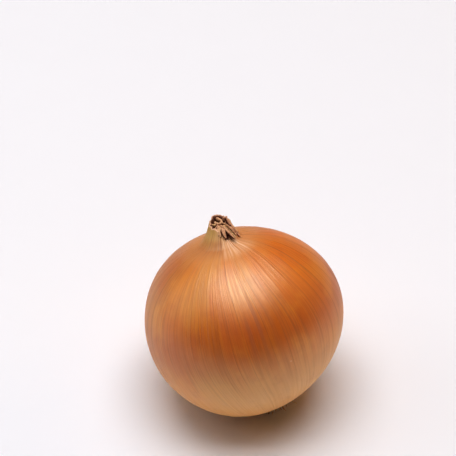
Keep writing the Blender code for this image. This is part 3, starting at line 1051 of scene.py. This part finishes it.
# %% Leaves rolled up in the socket
ROLLED = (
    {"path": ((-2.0, 3.3), (-0.7, 1.9), (0.6, 0.3), (0.9, -0.7), (0.1, -1.3), (-1.0, -0.6),
              (-1.8, 0.5)),
     "top": (8.4, 8.3, 8.0, 7.7, 7.4, 7.5, 7.6), "foot": 2.0, "lip": 0.85},
    {"path": ((-3.6, 2.4), (-3.6, 1.0), (-2.8, -0.3), (-1.8, -0.8), (-1.4, 0.3)),
     "top": (7.4, 7.2, 7.0, 6.9, 7.0), "foot": 2.0, "lip": 0.55},
    {"path": ((-2.8, -1.6), (-1.7, -2.1), (-0.8, -1.5), (-0.7, -0.9)),
     "top": (5.6, 6.0, 6.8, 6.5), "foot": 2.0, "lip": 0.60},
    {"path": ((0.2, 3.3), (1.5, 2.6), (2.2, 1.2), (1.9, 0.2)),
     "top": (7.4, 7.5, 7.2, 6.4), "foot": 2.0, "lip": 0.40},
    {"path": ((2.9, 1.6), (1.2, 3.2), (-1.2, 3.3), (-3.0, 2.2), (-3.3, -0.6), (-1.8, -2.7),
              (0.6, -2.9), (2.6, -1.6), (2.9, 0.6)),
     "top": (5.4, 5.8, 6.0, 5.8, 5.0, 4.2, 3.6, 4.0, 5.0), "foot": 1.6, "lip": 0.30},
)
ROLLED_CRUMPLE = (0.0003, 0.0013)
LIP_START = 0.72
LIP_MIDDLE = 0.86
LIP_REACH = 0.14


def rolled_leaf(path, top, foot, lip, columns=44, rows=16):
    """A leaf standing on its foot, its crest thickened into a rounded lip."""
    crest = smooth_path([(*place, height) for place, height in zip(path, top)], columns)
    shares = np.linspace(0, 1, rows)[:, None, None]
    base = crest * np.array((0.86, 0.86, 0.0)) + np.array((0.0, 0.0, foot))
    crest[:, 2] += 0.10 * np.sin(np.arange(columns) * 1.3) * np.sin(np.arange(columns) * 0.37 + 1)
    grid = neck_points(base + (crest - base) * shares**0.6)
    above = np.linspace(0, 1, rows)[:, None]
    thin = LEAF_THICKNESS / MM
    bead = np.sqrt(np.clip(1 - ((above - LIP_MIDDLE) / LIP_REACH) ** 2, 0.05, 1))
    bead = bead * (above > LIP_START)
    return grid, (thin + (lip - thin) * bead) * MM


for number, leaf in enumerate(ROLLED):
    grid, thickness = rolled_leaf(**leaf)
    leaves.add_sheet(crumple(grid, *ROLLED_CRUMPLE, 7.0 * number), thickness)
print("rolled leaves:", leaves.sheets)

# %% The lining of the collar, a sheet painted dark as shade
LINING_INSET = 0.00062
LINING_DROP = 0.0004
LINING_FOOT = 0.0022
LINING_SIDES = (-20, 338)
LINING_FLARE = 0.0003
LINING_RIPPLE = 0.00006


def lining_leaf(columns=96, rows=10):
    """The innermost layer of the collar, a little lower than its torn edge."""
    u = np.linspace(*np.radians(LINING_SIDES), columns)[None, :]
    share = np.linspace(0, 1, rows)[:, None]
    rim_out, rim_turn, rim_height = rim_place(u)
    radius = rim_out - LINING_INSET - LINING_FLARE * (1 - share)
    radius = radius + LINING_RIPPLE * np.sin(19 * u)
    level = LINING_FOOT + share * (rim_height - LINING_DROP - LINING_FOOT)
    return in_neck(radius * np.cos(rim_turn), radius * np.sin(rim_turn), level)


# The lining's finish paints it dark: painted shade inside the collar.
leaves.add_sheet(lining_leaf())
print("sheets so far:", leaves.sheets)

# %% [markdown]
# ## Folded leaves
# On the right and in front, creased leaf edges hang over the collar like folded paper. Each
# follows a ridge through stations given in millimetres right, back and up the neck. Its
# sides drop away from the ridge: deep and sharp for a crease, shallow and blunt for a flap.
# Bending one wide sheet over the edge would stretch it wherever the creases fan out.

# %% Leaves folded over the edge
FOLDED = (
    {"path": ((2.2, 1.4, 8.1), (2.9, 1.0, 8.4), (3.3, 0.6, 7.7), (3.8, 0.1, 6.8),
              (4.8, -0.7, 4.5), (5.7, -0.8, 2.8), (6.4, -0.7, 1.3), (7.3, -1.3, -0.2)),
     "wide": 0.24, "deep": 1.3, "blunt": 1.2},
    {"path": ((0.3, 0.0, 7.0), (1.3, -1.0, 7.2), (2.9, -1.2, 5.9), (4.5, -1.9, 4.5),
              (5.5, -2.4, 3.0), (6.3, -2.9, 1.2)),
     "wide": 0.26, "deep": 1.3, "blunt": 1.2},
    {"path": ((-1.6, -3.5, 5.1), (-0.5, -3.1, 5.9), (0.7, -2.3, 6.4), (1.9, -2.7, 5.6),
              (2.9, -3.3, 4.5), (4.1, -3.9, 3.0), (5.0, -4.5, 1.8), (5.8, -5.0, 0.6)),
     "wide": 0.52, "deep": 1.0, "blunt": 2.6},
    {"path": ((0.5, -1.0, 6.2), (0.1, -2.4, 6.1), (-0.2, -3.7, 5.3), (-0.1, -4.6, 4.1),
              (0.3, -5.1, 2.9)),
     "wide": 0.95, "deep": 0.5, "blunt": 2.5},
    {"path": ((1.1, -1.6, 5.7), (1.4, -2.9, 5.4), (1.6, -3.9, 4.4), (1.9, -4.6, 3.1),
              (2.4, -5.2, 1.9)),
     "wide": 0.85, "deep": 0.4, "blunt": 2.5},
    {"path": ((3.6, 0.9, 7.3), (4.4, 0.2, 5.8), (5.2, -0.3, 4.2), (6.1, -0.1, 2.3),
              (6.9, -0.2, 0.7)),
     "wide": 0.20, "deep": 1.0, "blunt": 1.2},
    {"path": ((1.6, -1.7, 6.2), (3.0, -2.2, 4.9), (4.3, -2.9, 3.4), (5.3, -3.4, 1.9),
              (6.0, -3.9, 0.7)),
     "wide": 0.18, "deep": 0.8, "blunt": 1.2},
)
FOLDED_CRUMPLE = (0.00018, 0.0008)
OUTWARD_LEAN = 0.7


def folded_leaf(path, wide, deep, blunt, rows=52, columns=13):
    """A leaf folded over a ridge that follows the path, its sides hanging down."""
    ridge = neck_points(smooth_path(path, rows))
    forward = unit(np.gradient(ridge, axis=0))
    off_axis = ridge - NECK_BASE
    outward = unit(off_axis - (off_axis @ GROWTH)[:, None] * GROWTH)
    lift = GROWTH + OUTWARD_LEAN * outward
    lift = unit(lift - (lift * forward).sum(-1, keepdims=True) * forward)
    side = np.cross(forward, lift)
    share = np.linspace(0, 1, rows)
    taper = np.clip(np.minimum(share / 0.12 + 0.7, (1 - share) / 0.30 + 0.25), 0, 1)[:, None]
    knob = 1 + 0.8 * np.exp(-(((share - 0.04) / 0.05) ** 2))[:, None]
    across = np.linspace(-1, 1, columns)[None, :]
    wave = 1 + 0.2 * np.sin(9 * share + 5 * wide)[:, None]
    out = np.sign(across) * np.abs(across) ** 0.7 * wide * taper * wave * knob * MM
    drop = np.abs(across) ** blunt * deep * taper * MM
    return ridge[:, None] + side[:, None] * out[..., None] - lift[:, None] * drop[..., None]


for number, leaf in enumerate(FOLDED):
    grid = folded_leaf(**leaf)
    leaves.add_sheet(crumple(grid, *FOLDED_CRUMPLE, 3.0 + 5.0 * number))
print("sheets so far:", leaves.sheets)

# %% [markdown]
# ## The leaf under the folds
# Between the folds one broad leaf shows, pressed on the collar inside and out. Its finish
# paints shade on it: dark where it lies over the edge under the folds, paler towards its
# ragged foot. It follows the skin's own formula a third of a millimetre above it, because a
# flat patch would cut through the curved skin.

# %% The leaf laid over the edge
WEB_SIDES = (-68, 26)
WEB_INSIDE = 0.0026
WEB_FOOT = 0.0060
WEB_NARROWING = 0.0014
WEB_PLEAT = 0.00012
WEB_LIFT = 0.0003
WEB_CRUMPLE = (0.00012, 0.0009)


def web_leaf(rows=34, columns=48):
    """A leaf bent over the collar's edge on the right, close to it inside and outside."""
    share = np.linspace(0, 1, columns)[None, :]
    u = np.radians(WEB_SIDES[0] + share * (WEB_SIDES[1] - WEB_SIDES[0]))
    over = np.linspace(WEB_INSIDE, COLLAR_RADIUS, rows // 3)[:, None]
    flat = in_neck(over * np.cos(u), over * np.sin(u), collar_height(u) + 1.8 * WEB_LIFT)
    ragged = 0.0005 * np.sin(21 * share) + 0.0003 * np.sin(47 * share + 1)
    foot = WEB_FOOT + ragged - WEB_NARROWING * (1 - share) ** 3
    down = np.linspace(0, 1, rows - rows // 3)[:, None]
    reach = 1.04 * COLLAR_RADIUS + (foot - 1.04 * COLLAR_RADIUS) * down
    phi = math.pi - np.arcsin(reach / BELLY_RADIUS)
    across = u + 0 * phi
    lift = WEB_LIFT * (1 - 0.6 * down)
    outside = skin(phi, across) + skin_normal(phi, across) * lift[..., None]
    pleat = WEB_PLEAT * np.sin(np.arange(columns) * 1.15)[None, :, None]
    return np.concatenate([flat, outside]) + pleat * GROWTH


leaves.add_sheet(crumple(web_leaf(), *WEB_CRUMPLE, 61.0))
print("leaves in the neck:", leaves.sheets)

# %% [markdown]
# ## Finish of the dry leaves
# Crushed leaves are matt and fibrous: cream where they were inside, tan to brown where they
# weathered. Their darkness is painted shade: low down on the rolled leaves in the socket, on
# the folded leaves' sides away from the ridge, on the leaf under the folds where it lies over
# the edge, and over nearly all the lining. One material for every leaf keeps them of one
# family, and each gets its own tone by its number, which is the whole part of its first UV
# coordinate.

# %% Places on the leaves
leaf_material, tree, shader = new_material("dry_leaf")
grain = add_node(tree, "ShaderNodeUVMap", uv_map="grain").outputs["UV"]
grain = add_node(tree, "ShaderNodeSeparateXYZ", {"Vector": grain})
sheet = calculate(tree, "FLOOR", grain.outputs["X"])
own = add_node(tree, "ShaderNodeTexWhiteNoise", {"W": sheet}, noise_dimensions="1D")
own = own.outputs["Value"]
place = add_node(tree, "ShaderNodeCombineXYZ", {
    "X": calculate(tree, "MULTIPLY", grain.outputs["X"], 22.0),
    "Y": calculate(tree, "MULTIPLY", grain.outputs["Y"], 2.0),
})
strand = grain_noise(tree, place.outputs["Vector"], 1.0, 4.0, 0.65)
objects = add_node(tree, "ShaderNodeTexCoord").outputs["Object"]
stain = grain_noise(tree, objects, 700.0, 3.0, 0.6)
across = calculate(tree, "FRACT", grain.outputs["X"])
across = calculate(tree, "MULTIPLY", across, 1 / SHEET_UV_WIDTH)
off_ridge = calculate(tree, "ABSOLUTE", calculate(tree, "MULTIPLY_ADD", across, 2.0, -1.0))
is_folded = calculate(tree, "GREATER_THAN", grain.outputs["X"], float(len(ROLLED)) + 0.9)
is_web = calculate(tree, "GREATER_THAN", grain.outputs["X"], float(leaves.sheets) - 1.1)
is_lining = calculate(tree, "COMPARE", sheet, float(len(ROLLED)), 0.1)
print("leaf places made with", len(tree.nodes), "nodes")

# %% Dry leaf and its painted shade
CREAM = (0.86, 0.56, 0.28)
ROSY_TAN = (0.78, 0.42, 0.25)
BROWN = (0.24, 0.075, 0.030)
CREASE_SHADE = (0.105, 0.020, 0.009)
LEAF_ROUGHNESS = (0.50, 0.75)
LEAF_SPECULAR = 0.25
STRAND_DEPTH = 0.0002
STRAND_STRENGTH = 0.5

# Painted shade: rolled leaves darken towards their feet, folded leaves on their sides.
rolled_shade = ramp(tree, grain.outputs["Y"], 0.55, 0.80, 1.0, 0.0)
folded_shade = ramp(tree, off_ridge, 0.35, 0.80)
dark = add_node(tree, "ShaderNodeMix", {0: is_folded, 2: rolled_shade, 3: folded_shade})
dark = dark.outputs[0]
# Painted shade on the leaf under the folds, darkest where it lies over the edge.
web_shade = ramp(tree, grain.outputs["Y"], 0.45, 0.90, 0.95, 0.10)
dark = calculate(tree, "MAXIMUM", dark, calculate(tree, "MULTIPLY", is_web, web_shade))
# The lining is painted nearly all dark, as the shade inside the socket.
dark = calculate(tree, "MAXIMUM", dark, calculate(tree, "MULTIPLY", is_lining, 0.9))
colour = blend(tree, ramp(tree, own, 0.1, 0.9), CREAM, ROSY_TAN)
colour = blend(tree, ramp(tree, strand, 0.45, 0.72, 0.0, 0.6), colour, BROWN)
colour = blend(tree, ramp(tree, stain, 0.55, 0.75, 0.0, 0.5), colour, BROWN)
colour = blend(tree, dark, colour, CREASE_SHADE)
tree.links.new(colour, shader.inputs["Base Color"])
tree.links.new(ramp(tree, strand, 0.3, 0.7, *LEAF_ROUGHNESS), shader.inputs["Roughness"])
shader.inputs["Specular IOR Level"].default_value = LEAF_SPECULAR
bump = {"Height": strand, "Strength": STRAND_STRENGTH, "Distance": STRAND_DEPTH}
bump = add_node(tree, "ShaderNodeBump", bump)
tree.links.new(bump.outputs["Normal"], shader.inputs["Normal"])
print("leaf finish has", len(tree.nodes), "nodes")

# %% Make the neck
points = np.array(leaves.points) - SEAT
neck = new_piece("neck_leaves", points, leaves.faces, leaves.uvs, leaf_material)
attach(neck, "root")
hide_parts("neck")

# %% [markdown]
# ## Roots
# Below, a corky plate closes the bulb, and the old roots leave it as a tuft of brittle
# threads. Hair would be quick but leaves no mesh, so each rootlet is a thin tapered tube on
# a curling path. A seeded draw gives each its own length and curl.

# %% Closed tubes and discs
def on_root(radius, u, height):
    """The point so far from the root's middle and so far out of the bulb."""
    phi = np.arcsin(np.asarray(radius, float) / BELLY_RADIUS)
    base = skin(phi, np.asarray(u, float) + 0 * phi)
    return base + ROOT * np.asarray(height, float)[..., None]


class Tuft:
    """Points, faces and UVs of the root plate and its rootlets."""

    def __init__(self):
        self.points = []
        self.faces = []
        self.uvs = []

    def add_rings(self, rings, start, end, tone):
        """Join the rings into a skin and close it on a point at each end."""
        count = len(rings[0])
        first = len(self.points)
        self.points += [point for ring in rings for point in ring] + [start, end]
        base = len(self.points) - 2
        for row in range(len(rings) - 1):
            for k in range(count):
                a = first + row * count + k
                b = first + row * count + (k + 1) % count
                self.faces.append((a, b, b + count, a + count))
                left = tone + SHEET_UV_WIDTH * k / count
                right = tone + SHEET_UV_WIDTH * (k + 1) / count
                low, high = row / len(rings), (row + 1) / len(rings)
                self.uvs += [(left, low), (right, low), (right, high), (left, high)]
        for hub, row in ((base, 0), (base + 1, len(rings) - 1)):
            for k in range(count):
                a = first + row * count + k
                b = first + row * count + (k + 1) % count
                self.faces.append((a, b, hub) if row else (b, a, hub))
                self.uvs += [(tone + SHEET_UV_WIDTH * k / count, row / len(rings))] * 3


tuft = Tuft()
print("root's foot in mm:", (1000 * on_root(0.0, 0.0, 0.0)).round(1))

# %% Root plate
PLATE_RADIUS = 0.0060
PLATE_THICKNESS = 0.0014
PLATE_GAP = 0.0003
PLATE_LUMPS = 0.10
PLATE_PROFILE = (
    (0.3, 0.0), (0.7, 0.0), (0.97, 0.0), (1.02, 0.25), (1.0, 0.6), (0.9, 0.9),
    (0.75, 1.05), (0.6, 0.95), (0.45, 1.1), (0.3, 1.0), (0.15, 1.1),
)

u = np.linspace(0, 2 * math.pi, 72, endpoint=False)
rough = 1 + 0.04 * np.sin(5 * u) + 0.03 * np.sin(9 * u + 1) + 0.015 * np.sin(23 * u + 2)
rings = []
for share, outward in PLATE_PROFILE:
    lumps = PLATE_LUMPS * PLATE_THICKNESS * np.sin(7 * u + 9 * share) * (outward > 0)
    level = PLATE_GAP + outward * PLATE_THICKNESS + lumps
    rings.append(on_root(PLATE_RADIUS * share * rough, u, level))
inner = ROOT_BASE + ROOT * PLATE_GAP
outer_middle = ROOT_BASE + ROOT * (PLATE_GAP + 1.1 * PLATE_THICKNESS)
tuft.add_rings([ring - SEAT for ring in rings], inner - SEAT, outer_middle - SEAT, 0.0)
print("root plate:", len(rings), "rings of", len(u), "points")

# %% Rootlets
FLOOR_CLEARANCE = 0.0009
ROOTLET_CIRCLES = ((0.0007, 4), (0.0017, 9), (0.0027, 14), (0.0037, 19), (0.0047, 24), (0.0054, 26))
ROOTLET_LENGTH = 0.0038
ROOTLET_RADIUS = 0.00024
ROOTLET_SEED = 11
MIDDLE_SPLAY = 14
EDGE_SPLAY = 40
SPLAY_STRAY = 10


def rootlet(radius, u, draw):
    """Rings, foot and tip of one rootlet, shortened where it would touch the table."""
    outward = around(u)
    sideways = np.cross(ROOT, outward)
    stray = draw.uniform(-SPLAY_STRAY, SPLAY_STRAY)
    splay = math.radians(MIDDLE_SPLAY + EDGE_SPLAY * radius / PLATE_RADIUS + stray)
    swing = draw.uniform(-0.6, 0.6)
    curl = draw.uniform(-0.3, 0.5)
    length = ROOTLET_LENGTH * draw.uniform(0.5, 1.3)
    heading = unit(ROOT * math.cos(splay) + outward * math.sin(splay) + sideways * 0.3 * swing)
    root = on_root(radius, u, 0.5 * PLATE_THICKNESS) - SEAT
    length = min(length, (root[2] - FLOOR_CLEARANCE) / max(-heading[2], 0.2))
    rings = []
    for share in np.linspace(0, 0.94, 8):
        bend = sideways * swing * 0.4 * share**2 + outward * curl * 0.35 * share**2
        point = root + (heading * share + bend) * length
        thick = ROOTLET_RADIUS * (1 - 0.6 * share) * (1 + 0.2 * math.sin(19 * share + 9 * swing))
        turn = np.arange(6) * math.pi / 3
        ring = point + thick * (np.cos(turn)[:, None] * sideways + np.sin(turn)[:, None] * outward)
        rings.append(ring)
    bend = sideways * swing * 0.4 + outward * curl * 0.35
    return rings, root, root + (heading + bend) * length


draw = random.Random(ROOTLET_SEED)
made = 0
for radius, count in ROOTLET_CIRCLES:
    for k in range(count):
        u = 2 * math.pi * (k + draw.uniform(-0.3, 0.3)) / count + radius * 400
        rings, start, end = rootlet(radius, u, draw)
        made += 1
        tuft.add_rings(rings, start, end, float(made))
print("rootlets:", made)

# %% [markdown]
# ## Finish of the roots
# The plate is dull cork and the rootlets are straw with brown patches. The UV number gives
# each rootlet a tone between the two, and a fine noise in space stains them together, as
# soil does. A gloss would look wet, so the roughness is high.

# %% Root finish
CORK = (0.55, 0.38, 0.24)
PALE_ROOT = (0.95, 0.80, 0.60)
ROOT_ROUGHNESS = (0.7, 0.95)
CORK_DEPTH = 0.0002
CORK_STRENGTH = 0.7

root_material, tree, shader = new_material("root_fibre")
grain = add_node(tree, "ShaderNodeUVMap", uv_map="grain").outputs["UV"]
grain = add_node(tree, "ShaderNodeSeparateXYZ", {"Vector": grain})
number = calculate(tree, "FLOOR", grain.outputs["X"])
own = add_node(tree, "ShaderNodeTexWhiteNoise", {"W": number}, noise_dimensions="1D")
own = own.outputs["Value"]
objects = add_node(tree, "ShaderNodeTexCoord").outputs["Object"]
cork = grain_noise(tree, objects, 900.0, 4.0, 0.65)
colour = blend(tree, ramp(tree, own, 0.3, 0.9), CORK, PALE_ROOT)
colour = blend(tree, ramp(tree, cork, 0.42, 0.68, 0.0, 0.5), colour, BROWN)
tree.links.new(colour, shader.inputs["Base Color"])
tree.links.new(ramp(tree, cork, 0.3, 0.7, *ROOT_ROUGHNESS), shader.inputs["Roughness"])
bump = {"Height": cork, "Strength": CORK_STRENGTH, "Distance": CORK_DEPTH}
bump = add_node(tree, "ShaderNodeBump", bump)
tree.links.new(bump.outputs["Normal"], shader.inputs["Normal"])
print("root finish has", len(tree.nodes), "nodes")

# %% Make the roots
roots = new_piece("root_tuft", tuft.points, tuft.faces, tuft.uvs, root_material)
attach(roots, "root")
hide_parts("roots")
